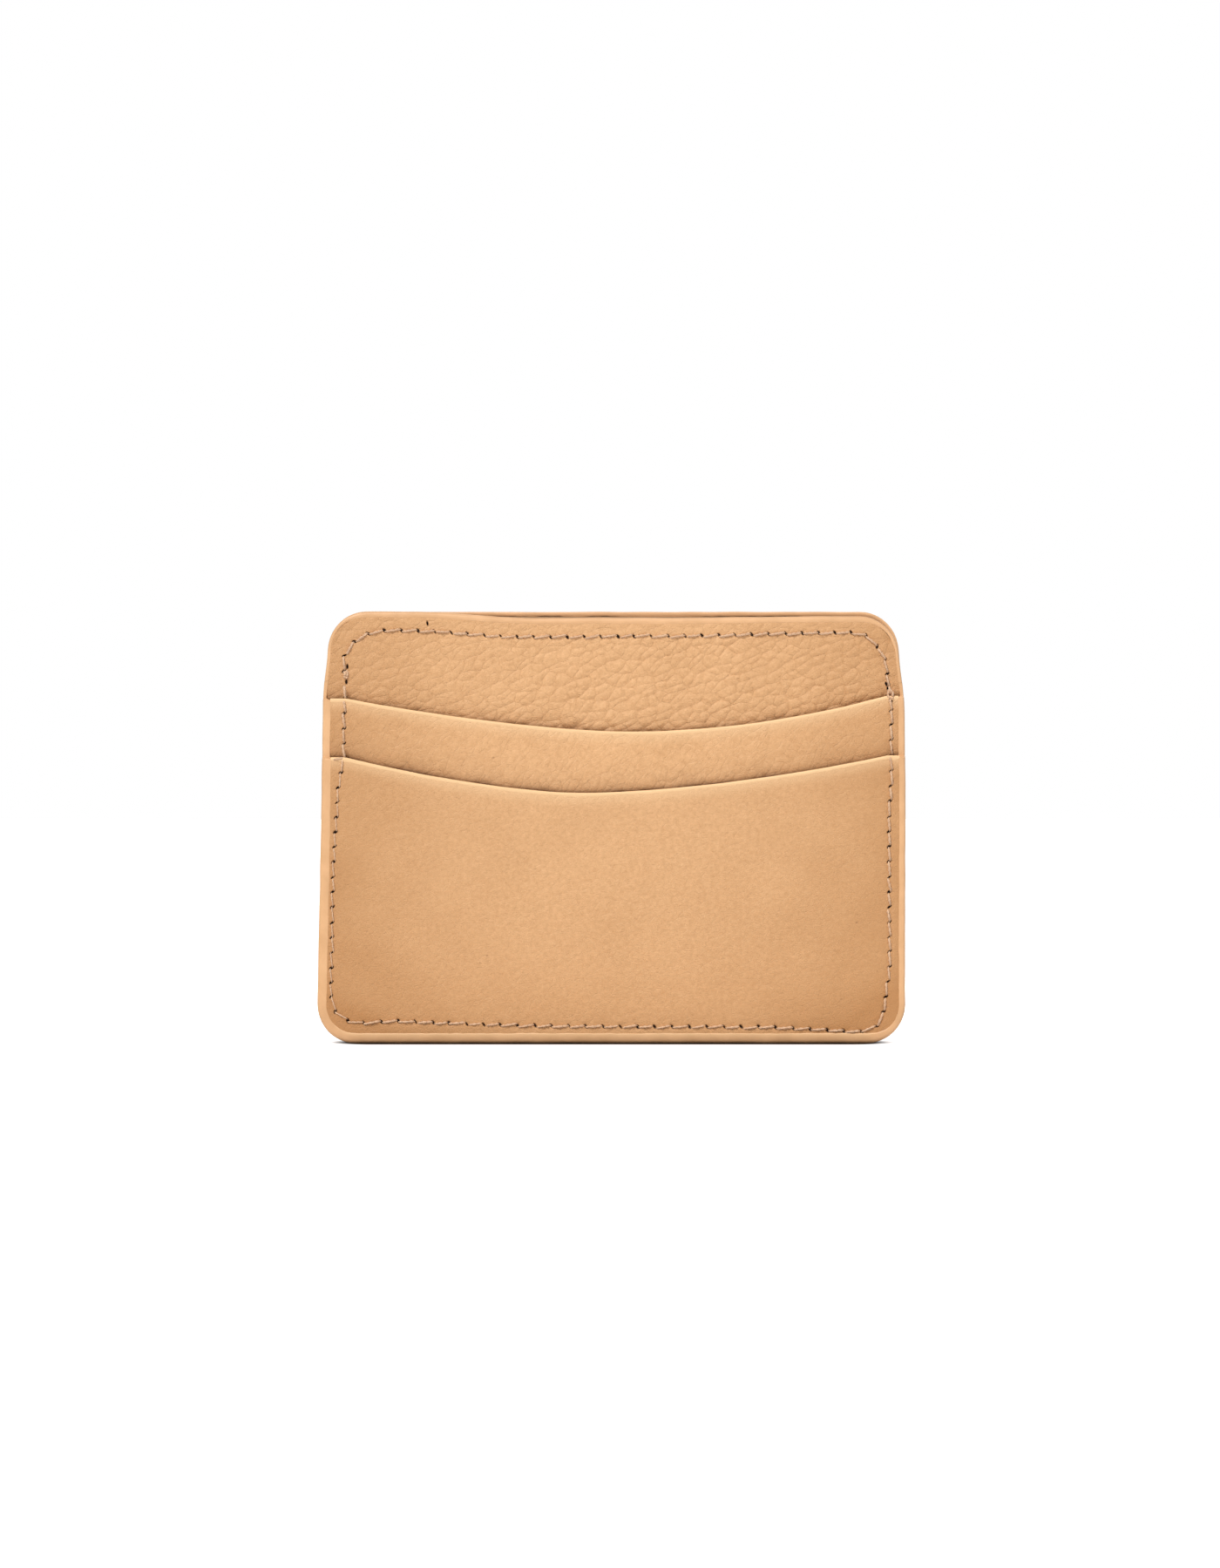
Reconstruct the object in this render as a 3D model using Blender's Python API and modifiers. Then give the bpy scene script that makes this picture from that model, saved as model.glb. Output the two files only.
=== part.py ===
"""Leather card holder: two stacked card slots on each face of a centre pocket.

The holder stands upright on its bottom edge. X runs across it, the front faces -Y and Z is up.
Every layer is a flat sheet, listed from the middle plane outwards and mirrored front to back.
"""

import math

import bpy

MM = 0.001

# Overall outline, measured on the outside of the painted edges
WIDTH = 100 * MM
HEIGHT = 74 * MM
CORNER_RADIUS = 6 * MM
TOP_NARROWING = 0.016  # share of the width that the outline has lost at the top
TOP_SHIFT = 0.4 * MM  # how far +X the middle of the top edge sits

# Layers, from the middle plane outwards
POCKET_SPACE = 0.8 * MM  # centre pocket when empty, with the two top seams' inner threads in it
GAP = 0.25 * MM  # between pieces that touch
LINING_THICKNESS = 0.25 * MM
BODY_THICKNESS = 0.8 * MM
SLOT_THICKNESS = 0.7 * MM

# Painted edges
COAT_WIDTH = 0.9 * MM  # build-up on the outer edges, seen from the front
COAT_ROUNDING = 0.3 * MM
MOUTH_COAT_WIDTH = 0.6 * MM
MOUTH_COAT_ROUNDING = 0.15 * MM
POCKET_END_Z = 62 * MM  # the front and back are sewn together below this height

# Curved slot mouths, a shallow arc with a flat end at each side
MOUTH_RADIUS = 180 * MM
MOUTH_CENTRE_X = 0.8 * MM
MOUTH_HALF_CHORD = 47.3 * MM
UPPER_MOUTH_LOW_Z = 53.7 * MM
LOWER_MOUTH_LOW_Z = 43.2 * MM

# Seams
THREAD_DIAMETER = 0.35 * MM
INNER_THREAD_DIAMETER = 0.3 * MM
SIDE_SEAM_MARGIN = 2.6 * MM
TOP_SEAM_MARGIN = 3.3 * MM
BOTTOM_SEAM_MARGIN = 2.7 * MM
BACK_TOP_SEAM_INSET = 0.7 * MM  # the back's top seam runs this much further in, clear of the front's
TOP_SEAM_CORNER_RADIUS = 5.5 * MM
BOTTOM_SEAM_CORNER_RADIUS = 3.2 * MM
STEP_RUN = 0.7 * MM  # height over which a side seam steps out over a slot mouth
KNOT_GAP = 0.3 * MM

ARC_STEPS = 8
MOUTH_STEPS = 16
BEAD_RESOLUTION = 2
MERGE = 0.000001

COLOURS = {
    "pebbled_leather": ((0.66, 0.40, 0.20), 0.62),
    "fine_leather": ((0.68, 0.41, 0.20), 0.58),
    "smooth_leather": ((0.69, 0.41, 0.20), 0.52),
    "lining_leather": ((0.62, 0.42, 0.25), 0.85),
    "edge_paint": ((0.80, 0.53, 0.29), 0.40),
    "thread": ((0.78, 0.50, 0.30), 0.60),
}


def layer_faces():
    """Distance of each layer's inner and outer face from the middle plane."""
    stack = [
        ("lining", LINING_THICKNESS),
        ("panel", BODY_THICKNESS),
        ("upper_slot", SLOT_THICKNESS),
        ("lower_slot", SLOT_THICKNESS),
    ]
    faces = {}
    inner = POCKET_SPACE / 2
    for name, thickness in stack:
        faces[name] = (inner, inner + thickness)
        inner += thickness + GAP
    return faces


FACES = layer_faces()
HALF_STACK = FACES["lower_slot"][1]


def leaned(x, z):
    """A point of the straight outline moved to the outline that narrows towards the top."""
    rise = z / HEIGHT
    return x * (1 - TOP_NARROWING * rise) + TOP_SHIFT * rise, z


def corner_arc(x, z, radius, start_deg):
    """A quarter circle round (x, z), anticlockwise."""
    points = []
    for step in range(ARC_STEPS + 1):
        angle = math.radians(start_deg + 90 * step / ARC_STEPS)
        points.append((x + radius * math.cos(angle), z + radius * math.sin(angle)))
    return points


def bottom_run(inset, radius):
    """The two bottom corners, from the left side to the right side."""
    x = WIDTH / 2 - inset - radius
    z = inset + radius
    return corner_arc(-x, z, radius, 180) + corner_arc(x, z, radius, 270)


def top_run(inset, radius):
    """The two top corners, from the right side to the left side."""
    x = WIDTH / 2 - inset - radius
    z = HEIGHT - inset - radius
    return corner_arc(x, z, radius, 0) + corner_arc(-x, z, radius, 90)


def mouth_height(x, low_z):
    """Height of a slot mouth at x."""
    reach = min(abs(x - MOUTH_CENTRE_X), MOUTH_HALF_CHORD)
    return low_z + MOUTH_RADIUS - math.sqrt(MOUTH_RADIUS**2 - reach**2)


def mouth_run(low_z, drop, side):
    """A slot mouth's curve, drop below its finished height, from +side to -side."""
    right = MOUTH_CENTRE_X + MOUTH_HALF_CHORD
    left = MOUTH_CENTRE_X - MOUTH_HALF_CHORD
    xs = [right + (left - right) * step / MOUTH_STEPS for step in range(MOUTH_STEPS + 1)]
    return [(x, mouth_height(x, low_z) - drop) for x in [side] + xs + [-side]]


def make_material(name):
    colour, roughness = COLOURS[name]
    material = bpy.data.materials.new(name)
    material.use_nodes = True
    shader = material.node_tree.nodes["Principled BSDF"]
    shader.inputs["Base Color"].default_value = (*colour, 1)
    shader.inputs["Roughness"].default_value = roughness
    shader.inputs["Metallic"].default_value = 0
    return material


def add_sheet(name, outline, near_y, far_y, material, collection):
    """A flat sheet with this outline in X and Z, between two distances in Y."""
    curve = bpy.data.curves.new(name, "CURVE")
    curve.dimensions = "2D"
    curve.fill_mode = "BOTH"
    curve.extrude = abs(far_y - near_y) / 2
    spline = curve.splines.new("POLY")
    spline.points.add(len(outline) - 1)
    for point, place in zip(spline.points, outline):
        x, z = leaned(*place)
        point.co = (x, z, 0, 1)
    spline.use_cyclic_u = True
    curve.materials.append(material)
    sheet = bpy.data.objects.new(name, curve)
    sheet.rotation_euler.x = math.radians(90)
    sheet.location.y = (near_y + far_y) / 2
    collection.objects.link(sheet)
    return sheet


def as_mesh(sheet):
    """The curve object replaced by a mesh object with its caps welded on."""
    collection = sheet.users_collection[0]
    bpy.context.view_layer.update()
    evaluated = sheet.evaluated_get(bpy.context.evaluated_depsgraph_get())
    mesh = bpy.data.meshes.new_from_object(evaluated)
    name = sheet.name
    place = sheet.matrix_world.copy()
    bpy.data.objects.remove(sheet)
    solid = bpy.data.objects.new(name, mesh)
    solid.matrix_world = place
    collection.objects.link(solid)
    weld = solid.modifiers.new("weld_caps", "WELD")
    weld.merge_threshold = MERGE
    return solid


def round_edges(solid, width):
    bevel = solid.modifiers.new("rounding", "BEVEL")
    bevel.width = width
    bevel.segments = 2
    bevel.limit_method = "ANGLE"
    bevel.angle_limit = math.radians(60)


def add_bead(name, path, diameter, material, collection):
    """A thread as one thin round bead along a path of (x, y, z)."""
    curve = bpy.data.curves.new(name, "CURVE")
    curve.dimensions = "3D"
    curve.bevel_depth = diameter / 2
    curve.bevel_resolution = BEAD_RESOLUTION
    curve.use_fill_caps = True
    spline = curve.splines.new("POLY")
    spline.points.add(len(path) - 1)
    for point, (x, y, z) in zip(spline.points, path):
        x, z = leaned(x, z)
        point.co = (x, y, z, 1)
    curve.materials.append(material)
    bead = bpy.data.objects.new(name, curve)
    collection.objects.link(bead)
    return bead


def leather_panels(side, sign, materials, collection):
    """Lining, body panel and the two slot panels of one side of the holder."""
    inset = COAT_WIDTH + GAP
    radius = CORNER_RADIUS - inset
    whole = bottom_run(inset, radius) + top_run(inset, radius)
    half_width = WIDTH / 2 - inset
    drop = MOUTH_COAT_WIDTH + GAP
    bottom = bottom_run(inset, radius)
    outlines = {
        "lining": (whole, "lining_leather"),
        "panel": (whole, "pebbled_leather"),
        "upper_slot": (bottom + mouth_run(UPPER_MOUTH_LOW_Z, drop, half_width), "fine_leather"),
        "lower_slot": (bottom + mouth_run(LOWER_MOUTH_LOW_Z, drop, half_width), "smooth_leather"),
    }
    for layer, (outline, material) in outlines.items():
        inner, outer = FACES[layer]
        add_sheet(f"{side}_{layer}", outline, sign * inner, sign * outer, materials[material], collection)


def mouth_coats(side, sign, materials, collection):
    """The painted strip along each slot mouth."""
    half_width = WIDTH / 2 - COAT_WIDTH - GAP
    for layer, low_z in (("upper_slot", UPPER_MOUTH_LOW_Z), ("lower_slot", LOWER_MOUTH_LOW_Z)):
        top = mouth_run(low_z, 0, half_width)
        bottom = mouth_run(low_z, MOUTH_COAT_WIDTH, half_width)
        inner, outer = FACES[layer]
        strip = add_sheet(
            f"{side}_{layer}_mouth_coat",
            top + bottom[::-1],
            sign * inner,
            sign * outer,
            materials["edge_paint"],
            collection,
        )
        round_edges(as_mesh(strip), MOUTH_COAT_ROUNDING)


def pocket_edge_coat(side, sign, materials, collection):
    """The painted edge of one side of the centre pocket: across the top and down to the joined edge."""
    half_width = WIDTH / 2
    foot = POCKET_END_Z + GAP
    outer = [(half_width, foot)] + top_run(0, CORNER_RADIUS) + [(-half_width, foot)]
    inset = COAT_WIDTH
    inner = [(half_width - inset, foot)]
    inner += top_run(inset, CORNER_RADIUS - inset)
    inner += [(inset - half_width, foot)]
    strip = add_sheet(
        f"{side}_top_edge_coat",
        outer + inner[::-1],
        sign * FACES["lining"][0],
        sign * FACES["panel"][1],
        materials["edge_paint"],
        collection,
    )
    round_edges(as_mesh(strip), COAT_ROUNDING)


def step_cutter(name, near_y, far_y, low_z, cutters):
    """A box that takes the joined edge back to the layers it has above a slot mouth."""
    bpy.ops.mesh.primitive_cube_add(size=1)
    cutter = bpy.context.active_object
    cutter.name = name
    cutter.scale = (WIDTH * 1.2, abs(far_y - near_y), HEIGHT)
    cutter.location = (0, (near_y + far_y) / 2, low_z + HEIGHT / 2)
    cutter.hide_render = True
    cutter.display_type = "WIRE"
    for collection in list(cutter.users_collection):
        collection.objects.unlink(cutter)
    cutters.objects.link(cutter)
    return cutter


def joined_edge_coat(materials, collection, cutters):
    """The painted edge round the sides and bottom, where every layer is sewn together."""
    half_width = WIDTH / 2
    inset = COAT_WIDTH
    outer = [(-half_width, POCKET_END_Z)] + bottom_run(0, CORNER_RADIUS) + [(half_width, POCKET_END_Z)]
    inner = [(inset - half_width, POCKET_END_Z)]
    inner += bottom_run(inset, CORNER_RADIUS - inset)
    inner += [(half_width - inset, POCKET_END_Z)]
    strip = add_sheet(
        "side_and_bottom_edge_coat",
        outer + inner[::-1],
        -HALF_STACK,
        HALF_STACK,
        materials["edge_paint"],
        collection,
    )
    coat = as_mesh(strip)
    round_edges(coat, COAT_ROUNDING)
    beyond = HALF_STACK + 1 * MM
    for side, sign in (("front", -1), ("back", 1)):
        for layer, low_z in (("upper_slot", LOWER_MOUTH_LOW_Z), ("panel", UPPER_MOUTH_LOW_Z)):
            face = FACES[layer][1]
            mouth_end_z = mouth_height(WIDTH / 2, low_z)
            cutter = step_cutter(f"{side}_{layer}_step", sign * face, sign * beyond, mouth_end_z, cutters)
            cut = coat.modifiers.new(cutter.name, "BOOLEAN")
            cut.operation = "DIFFERENCE"
            cut.solver = "EXACT"
            cut.object = cutter


def side_seam_path(sign):
    """The seam round the sides and bottom, stepping out over each slot mouth."""
    lift = GAP + THREAD_DIAMETER / 2
    clear = GAP + THREAD_DIAMETER / 2 + 0.1 * MM
    x = WIDTH / 2 - SIDE_SEAM_MARGIN
    levels = {layer: sign * (FACES[layer][1] + lift) for layer in ("panel", "upper_slot", "lower_slot")}
    upper_end = mouth_height(x, UPPER_MOUTH_LOW_Z) + clear
    lower_end = mouth_height(x, LOWER_MOUTH_LOW_Z) + clear
    side = [
        (levels["panel"], POCKET_END_Z - KNOT_GAP),
        (levels["panel"], upper_end + STEP_RUN),
        (levels["upper_slot"], upper_end),
        (levels["upper_slot"], lower_end + STEP_RUN),
        (levels["lower_slot"], lower_end),
    ]
    down = [(-x, y, z) for y, z in side]
    up = [(x, y, z) for y, z in reversed(side)]
    raised = BOTTOM_SEAM_MARGIN - SIDE_SEAM_MARGIN
    corners = bottom_run(SIDE_SEAM_MARGIN, BOTTOM_SEAM_CORNER_RADIUS)
    along = [(corner_x, levels["lower_slot"], corner_z + raised) for corner_x, corner_z in corners]
    return down + along + up


def top_seam_path(y, further_in):
    """A seam across the top of one side of the pocket and down to where the sides are joined."""
    margin = SIDE_SEAM_MARGIN + further_in
    x = WIDTH / 2 - margin
    foot = POCKET_END_Z + KNOT_GAP + THREAD_DIAMETER
    lowered = TOP_SEAM_MARGIN - SIDE_SEAM_MARGIN
    corners = top_run(margin, TOP_SEAM_CORNER_RADIUS)
    along = [(corner_x, y, corner_z - lowered) for corner_x, corner_z in corners]
    return [(x, y, foot)] + along + [(-x, y, foot)]


def seam_threads(materials, collection):
    """Needle and bobbin thread of the side seam and of the two top seams."""
    thread = materials["thread"]
    lift = GAP + THREAD_DIAMETER / 2
    for side, sign, further_in in (("front", -1, 0), ("back", 1, BACK_TOP_SEAM_INSET)):
        outside = sign * (FACES["panel"][1] + lift)
        outer_path = top_seam_path(outside, further_in)
        inner_path = top_seam_path(0, further_in)
        add_bead(f"{side}_top_seam_outer_thread", outer_path, THREAD_DIAMETER, thread, collection)
        add_bead(f"{side}_top_seam_inner_thread", inner_path, INNER_THREAD_DIAMETER, thread, collection)
        add_bead(f"side_seam_{side}_thread", side_seam_path(sign), THREAD_DIAMETER, thread, collection)


def main():
    for item in list(bpy.data.objects):
        bpy.data.objects.remove(item)
    collection = bpy.data.collections.new("card_holder")
    cutters = bpy.data.collections.new("cutters")
    bpy.context.scene.collection.children.link(collection)
    bpy.context.scene.collection.children.link(cutters)
    materials = {name: make_material(name) for name in COLOURS}
    for side, sign in (("front", -1), ("back", 1)):
        leather_panels(side, sign, materials, collection)
        mouth_coats(side, sign, materials, collection)
        pocket_edge_coat(side, sign, materials, collection)
    joined_edge_coat(materials, collection, cutters)
    seam_threads(materials, collection)


main()
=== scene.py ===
# Leather card holder: two stacked slots on each face of a centre pocket, stitched and edge painted.
# Lengths are in millimetres until a mesh is made. The front faces -Y.
import math

import bmesh
import bpy
import numpy as np
from mathutils import Matrix, Vector


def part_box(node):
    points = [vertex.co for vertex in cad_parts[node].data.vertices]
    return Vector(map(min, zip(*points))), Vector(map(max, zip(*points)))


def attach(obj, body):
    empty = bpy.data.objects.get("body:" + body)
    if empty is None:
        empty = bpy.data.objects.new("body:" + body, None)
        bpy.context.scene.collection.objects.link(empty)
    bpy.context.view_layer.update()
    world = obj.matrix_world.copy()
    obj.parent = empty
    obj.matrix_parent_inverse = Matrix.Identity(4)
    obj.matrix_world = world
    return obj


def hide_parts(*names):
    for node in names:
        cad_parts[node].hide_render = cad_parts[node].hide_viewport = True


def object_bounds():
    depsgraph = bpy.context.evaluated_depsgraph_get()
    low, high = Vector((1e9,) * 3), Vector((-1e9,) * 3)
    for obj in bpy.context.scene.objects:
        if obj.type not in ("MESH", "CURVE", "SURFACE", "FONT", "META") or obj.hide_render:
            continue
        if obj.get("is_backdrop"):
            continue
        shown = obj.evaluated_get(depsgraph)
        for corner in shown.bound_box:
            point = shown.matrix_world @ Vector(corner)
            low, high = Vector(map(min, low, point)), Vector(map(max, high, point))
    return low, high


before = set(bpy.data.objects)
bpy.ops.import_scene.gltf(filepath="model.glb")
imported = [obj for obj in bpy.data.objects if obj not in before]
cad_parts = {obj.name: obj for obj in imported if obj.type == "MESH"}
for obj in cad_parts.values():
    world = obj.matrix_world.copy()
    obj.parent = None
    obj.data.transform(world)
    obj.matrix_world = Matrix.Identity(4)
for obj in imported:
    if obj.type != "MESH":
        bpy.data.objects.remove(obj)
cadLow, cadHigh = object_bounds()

mm = 0.001

# the overall shape, shared by every piece
holder = {
    "width": 100.0,  # at the bottom edge
    "height": round(cadHigh.z / mm, 3),
    "cornerRadius": 6.7,
    "foot": 1.007,  # how much wider the painted foot is than the plain solid
    "narrowing": 0.0135,  # share of the width lost towards the top
    "shoulder": 0.015,  # and the extra where only the pocket is left
    "shift": 0.42,  # the upper half's middle sits this far right
    "pocketEnd": 62.0,  # the sides are joined below this height
    "swell": 0.34,  # how far each face swells between its seams
    "topSwell": -0.45,  # and how far they close again at the pocket's mouth
    "swellReach": 8.0,
    "slipDown": 1.1,  # the front of the pocket sits up to this much low, except at its left end
    "slipAcross": 0.35,  # and this much in at its right end
}
halfWidth = holder["width"] / 2
sides = {"front": -1, "back": 1}


def layerFaces(node):
    # inner and outer distance of a layer from the middle plane
    low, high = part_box(node)
    nearer, further = sorted((abs(low[1]) / mm, abs(high[1]) / mm))
    return nearer, further


layers = {name: layerFaces("back_" + name) for name in ("lining", "panel", "upper_slot", "lower_slot")}

mouths = {  # the slots' curved mouths, flat beyond their left and right ends
    "left": -46.0,
    "right": 47.0,
    "reach": 47.0,  # each rise is what the mouth climbs over this distance
    "upper_slot": {"lowest": 53.37, "centre": 2.5, "leftRise": 5.4, "leftPower": 1.6,
                   "rightRise": 6.98, "rightPower": 2.0},
    "lower_slot": {"lowest": 42.88, "centre": -5.5, "leftRise": 7.72, "leftPower": 1.6,
                   "rightRise": 5.3, "rightPower": 1.7},
}
edges = {  # painted edges, wider down the left side than down the right
    "panel": {"inset": 0.5, "rounding": 0.75, "left": 0.42, "right": 0.4, "level": 0.9},
    "upper_slot": {"inset": 0.9, "rounding": 1.2, "left": 1.2, "right": 0.9, "level": 1.1},
    "lower_slot": {"inset": 0.95, "rounding": 1.55, "left": 1.45, "right": 0.95, "level": 1.6},
    "lip": 0.24,  # how far the paint laps onto the leather
    "film": 0.012,  # thickness of that lap
    "ridge": 0.05,  # extra thickness along the foot
    "wall": 0.45,
    "mouthWall": 0.5,
    "mouthLip": 0.42,
    "rollOff": 0.045,  # how far the leather sinks at its edge
    "burnished": 1.3,  # width of the paler band below a mouth
    "grooveDepth": 0.05,
    "middleGroove": 0.16,
    "waviness": 0.03,
}
sideSeam = {  # places along the hand-guided seam that joins every layer
    "left tie": (-46.3, 61.6),
    "left, by the mouths": (-46.2, 48.5),
    "left bend": (-47.1, 44.0),
    "left middle": (-47.7, 30.0),
    "left foot": (-47.6, 7.0),
    "foot, left corner": (-46.6, 5.0),
    "foot, first stitch": (-43.8, 3.4),
    "foot, left hump": (-36.7, 3.9),
    "foot, left": (-23.0, 3.3),
    "foot, middle": (0.0, 2.9),
    "foot, right": (26.0, 2.9),
    "foot, right end": (42.5, 2.0),
    "foot, right corner": (44.6, 2.3),
    "right foot": (46.3, 5.5),
    "right bend": (47.3, 13.0),
    "right middle": (47.1, 38.0),
    "right, by the mouths": (47.6, 48.0),
    "right tie": (47.7, 61.6),
}
topSeam = {  # and along the pocket's mouth
    "right tie": (47.6, 60.9),
    "right, below the corner": (47.6, 66.4),
    "right corner": (46.2, 69.0),
    "right end": (43.8, 71.2),
    "middle": (5.0, 70.8),
    "left of the middle": (-20.0, 70.6),
    "left end": (-41.8, 70.7),
    "left corner": (-45.3, 69.0),
    "left, below the corner": (-47.3, 66.0),
    "left tie": (-46.5, 62.4),
}
seams = {
    "pitchAcross": 2.9,
    "pitchDown": 2.55,
    "unevenness": 0.12,
    "wander": 1.6,  # length over which corners are eased
    "reach": 2.6,  # the faces swell only inside this distance from the sides
    "valleyDepth": 0.09,
    "valleyWidth": 0.7,
    "holeLength": 0.54,  # half length of a needle slit
    "holeWidth": 0.25,
    "holeDepth": 0.5,
    "holeSlant": math.radians(-52),
}
stitch = {
    "length": 0.82,  # share of the pitch
    "thickness": 0.46,
    "rise": 0.24,
    "dive": 0.3,
    "lift": -0.02,
    "twists": 1.2,
    "leftThinning": 0.35,
    "slant": math.radians(8),
    "wander": 0.07,
    "seed": 5,
}


def smooth(low, high, value):
    t = np.clip((value - low) / (high - low), 0, 1)
    return t * t * (3 - 2 * t)


def softNoise(x, z, size, seed):
    # smooth waves about size across, from -1 to 1
    rng = np.random.default_rng(seed)
    total = 0
    for _ in range(8):
        angle, phase = rng.uniform(0, 2 * math.pi, 2)
        wave = 2 * math.pi / size * rng.uniform(0.6, 1.4)
        total = total + np.cos(wave * (x * math.cos(angle) + z * math.sin(angle)) + phase)
    return total / 4


def lean(x, z):
    share = holder["foot"] - holder["narrowing"] * z / holder["height"]
    share = share - holder["shoulder"] * smooth(58, 69, z)
    return x * share + holder["shift"] * smooth(0, 50, z), z


def swell(x, z):
    reach = holder["swellReach"]
    across = 1 - np.exp(-np.clip(halfWidth - seams["reach"] - np.abs(x), 0, None) / reach)
    up = 1 - np.exp(-np.clip(z - seams["reach"], 0, None) / reach)
    return across * up * (holder["swell"] + holder["topSwell"] * smooth(40, holder["height"], z))


def place(points):
    # from straight millimetres to the holder's own shape in metres; the front has negative y
    x, y, z = np.asarray(points, float).T
    outward = y + np.sign(y) * swell(x, z)
    slip = smooth(-36, -14, x) * smooth(56, 71, z) * smooth(0.4, -0.4, y)
    slip = slip * (1 - 0.25 * smooth(10, 40, x))
    x = x - holder["slipAcross"] * slip * smooth(30, 48, x)
    x, z = lean(x, z - holder["slipDown"] * slip)
    return np.stack([x, outward, z], axis=1) * mm


def arc(x, z, radius, start, steps=10):
    angles = np.radians(start + 90 * np.arange(steps + 1) / steps)
    return np.stack([x + radius * np.cos(angles), z + radius * np.sin(angles)], axis=1)


def resample(path, step):
    path = np.asarray(path, float)
    along = np.concatenate([[0], np.cumsum(np.linalg.norm(np.diff(path, axis=0), axis=1))])
    at = np.linspace(0, along[-1], max(2, int(round(along[-1] / step)) + 1))
    return np.stack([np.interp(at, along, path[:, k]) for k in range(path.shape[1])], axis=1)


def bottomRun(inset):
    radius = holder["cornerRadius"] - inset
    x, z = halfWidth - inset - radius, inset + radius
    return np.concatenate([arc(-x, z, radius, 180), arc(x, z, radius, 270)])


def topRun(inset):
    radius = holder["cornerRadius"] - inset
    x, z = halfWidth - inset - radius, holder["height"] - inset - radius
    return np.concatenate([arc(x, z, radius, 0), arc(-x, z, radius, 90)])


def mouthHeight(x, slot):
    mouth = mouths[slot]
    away = np.clip(x, mouths["left"], mouths["right"]) - mouth["centre"]
    share = np.abs(away) / mouths["reach"]
    left = mouth["leftRise"] * share ** mouth["leftPower"]
    right = mouth["rightRise"] * share ** mouth["rightPower"]
    return mouth["lowest"] + np.where(away < 0, left, right)


def easedPath(places):
    # a line through the places, its corners eased
    path = resample(list(places.values()), 0.1)
    reach = int(seams["wander"] / 0.2)
    padded = np.concatenate([np.repeat(path[:1], reach, 0), path, np.repeat(path[-1:], reach, 0)])
    window = np.ones(2 * reach + 1) / (2 * reach + 1)
    return np.stack([np.convolve(padded[:, k], window, "valid") for k in (0, 1)], axis=1)


def stitchEnds(path, seed):
    # where the needle went in: closer together down the sides than across
    path = resample(path, 0.1)
    rng = np.random.default_rng(seed)
    along = 0.1 * np.arange(len(path))
    ends, at = [], 0.0
    while at < along[-1]:
        index = min(int(at / 0.1), len(path) - 2)
        run = path[index + 1] - path[index]
        level = abs(run[0]) / np.linalg.norm(run)
        ends.append(path[index])
        pitch = seams["pitchDown"] + (seams["pitchAcross"] - seams["pitchDown"]) * level
        at += pitch + rng.uniform(-seams["unevenness"], seams["unevenness"])
    ends.append(path[-1])
    return np.array(ends)


def seamDistance(x, z, path):
    # distance from the seam's line
    best = np.full(x.shape, 1e9)
    path = resample(path, 1.0)
    for a, b in zip(path[:-1], path[1:]):
        run = b - a
        t = np.clip(((x - a[0]) * run[0] + (z - a[1]) * run[1]) / (run @ run), 0, 1)
        best = np.minimum(best, np.hypot(x - a[0] - t * run[0], z - a[1] - t * run[1]))
    return best


def needleSlits(ends, seed):
    # each slit's middle, its slant across the seam and its width
    runs = ends[2:] - ends[:-2]
    turns = np.arctan2(runs[:, 1], runs[:, 0]) + seams["holeSlant"]
    widths = seams["holeWidth"] * np.random.default_rng(seed).uniform(0.6, 1.25, len(turns))
    return np.column_stack([ends[1:-1], turns, widths])


def slitDepth(x, z, slits):
    # 1 in the middle of a needle slit and 0 outside it
    depth = np.zeros(x.shape)
    for slitX, slitZ, turn, width in slits:
        near = (np.abs(x - slitX) < 1) & (np.abs(z - slitZ) < 1)
        dx, dz = x[near] - slitX, z[near] - slitZ
        u = (dx * math.cos(turn) + dz * math.sin(turn)) / seams["holeLength"]
        v = (-dx * math.sin(turn) + dz * math.cos(turn)) / width
        depth[near] = np.maximum(depth[near], np.clip(1.25 * (1 - np.hypot(u, v)), 0, 1))
    return depth


sidePath, topPath = easedPath(sideSeam), easedPath(topSeam)
sideEnds, topEnds = stitchEnds(sidePath, 3), stitchEnds(topPath, 4)
leftKnotHoles = ((-46.3, 64.5), (-46.3, 63.1), (-46.2, 61.9))
rightKnotHoles = ((47.2, 61.8), (47.4, 60.9), (47.7, 59.9), (47.7, 58.7))
upright = math.radians(100)
single = [(x, z, upright, seams["holeWidth"]) for x, z in leftKnotHoles + rightKnotHoles]
single.append((-32.6, 72.0, upright, 0.2))  # an old nick near the pocket's mouth
slits = np.concatenate([needleSlits(sideEnds, 13), needleSlits(topEnds, 14), single])


def newPiece(name, points, faces, material):
    mesh = bpy.data.meshes.new(name)
    mesh.from_pydata(points, [], faces)
    mesh.materials.append(material)
    piece = bpy.data.objects.new(name, mesh)
    bpy.context.scene.collection.objects.link(piece)
    return piece


def shade(piece, degrees=38):
    piece.data.shade_smooth()
    piece.data.set_sharp_from_angle(angle=math.radians(degrees))


def faceOutwards(piece):
    mesh = bmesh.new()
    mesh.from_mesh(piece.data)
    bmesh.ops.recalc_face_normals(mesh, faces=mesh.faces)
    mesh.to_mesh(piece.data)
    mesh.free()


def setAttribute(piece, name, values):
    layer = piece.data.attributes.new(name, "FLOAT", "POINT")
    layer.data.foreach_set("value", np.asarray(values, np.float32))


def standFor(piece, node):
    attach(piece, "root")
    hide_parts(node)


def nodeAdder(tree):
    def add(kind, inputs=None, **settings):
        node = tree.nodes.new(kind)
        for key, value in settings.items():
            setattr(node, key, value)
        for key, value in (inputs or {}).items():
            if isinstance(value, bpy.types.NodeSocket):
                tree.links.new(value, node.inputs[key])
            else:
                node.inputs[key].default_value = value
        return node

    return add


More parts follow.
